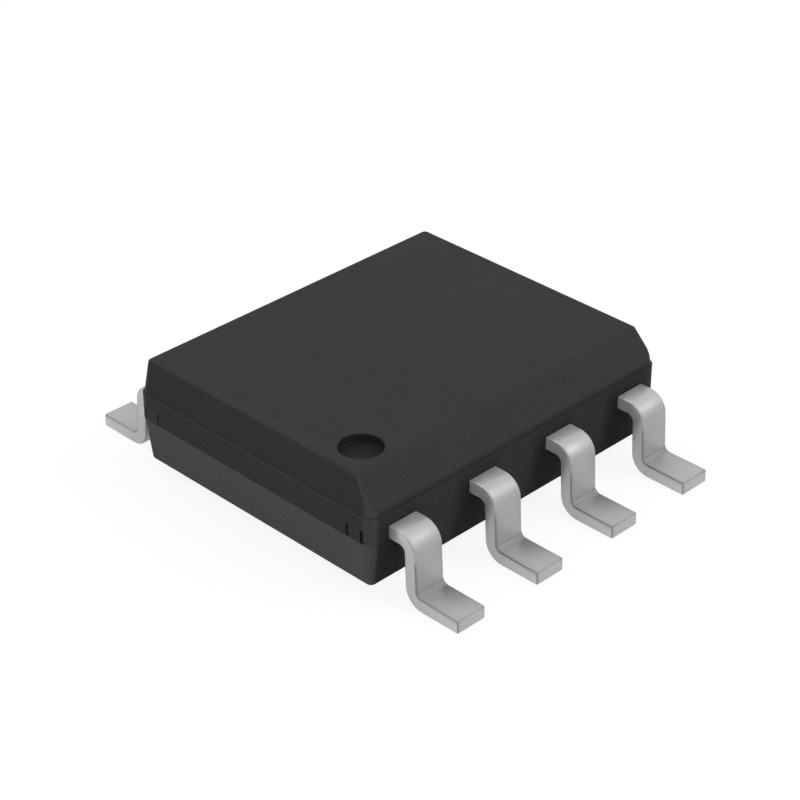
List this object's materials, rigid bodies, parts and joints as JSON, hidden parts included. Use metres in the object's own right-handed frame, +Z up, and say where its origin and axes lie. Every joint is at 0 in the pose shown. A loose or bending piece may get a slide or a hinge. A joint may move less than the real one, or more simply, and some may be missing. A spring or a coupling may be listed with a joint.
{
  "type": "soic chip",
  "caption": "Small-outline surface-mount integrated circuit: a flat black moulded body with a lead-1 dimple and chamfer, and a row of tinned gull-wing leads down each long side.",
  "frame": {"origin": "centre of the package's footprint on the board plane, under the feet", "axes": "+Z up out of the board, +Y along the two rows of leads towards leads 1 and 8, -X towards leads 1 to 4"},
  "size_m": [0.006, 0.0048, 0.0015],
  "materials": {
    "epoxy_moulding": "matt, silica-filled black epoxy straight from a spark-eroded mould",
    "tinned_copper": "satin electroplated matt tin over copper strip",
    "bare_copper": "rolled copper alloy strip, dulled where it is cut flush with the end face",
    "silver_epoxy": "matt silver-filled adhesive",
    "silicon": "polished silicon with sawn edges",
    "gold_wire": "bright drawn gold"
  },
  "bodies": {
    "root": {"mould_body": "epoxy_moulding", "lead_1": "tinned_copper", "lead_2": "tinned_copper", "lead_3": "tinned_copper", "lead_4": "tinned_copper", "lead_5": "tinned_copper", "lead_6": "tinned_copper", "lead_7": "tinned_copper", "lead_8": "tinned_copper", "die_paddle": "bare_copper", "die_attach": "silver_epoxy", "die": "silicon", "bond_wire_1": "gold_wire", "bond_wire_2": "gold_wire", "bond_wire_3": "gold_wire", "bond_wire_4": "gold_wire", "bond_wire_5": "gold_wire", "bond_wire_6": "gold_wire", "bond_wire_7": "gold_wire", "bond_wire_8": "gold_wire"}
  },
  "joints": []
}
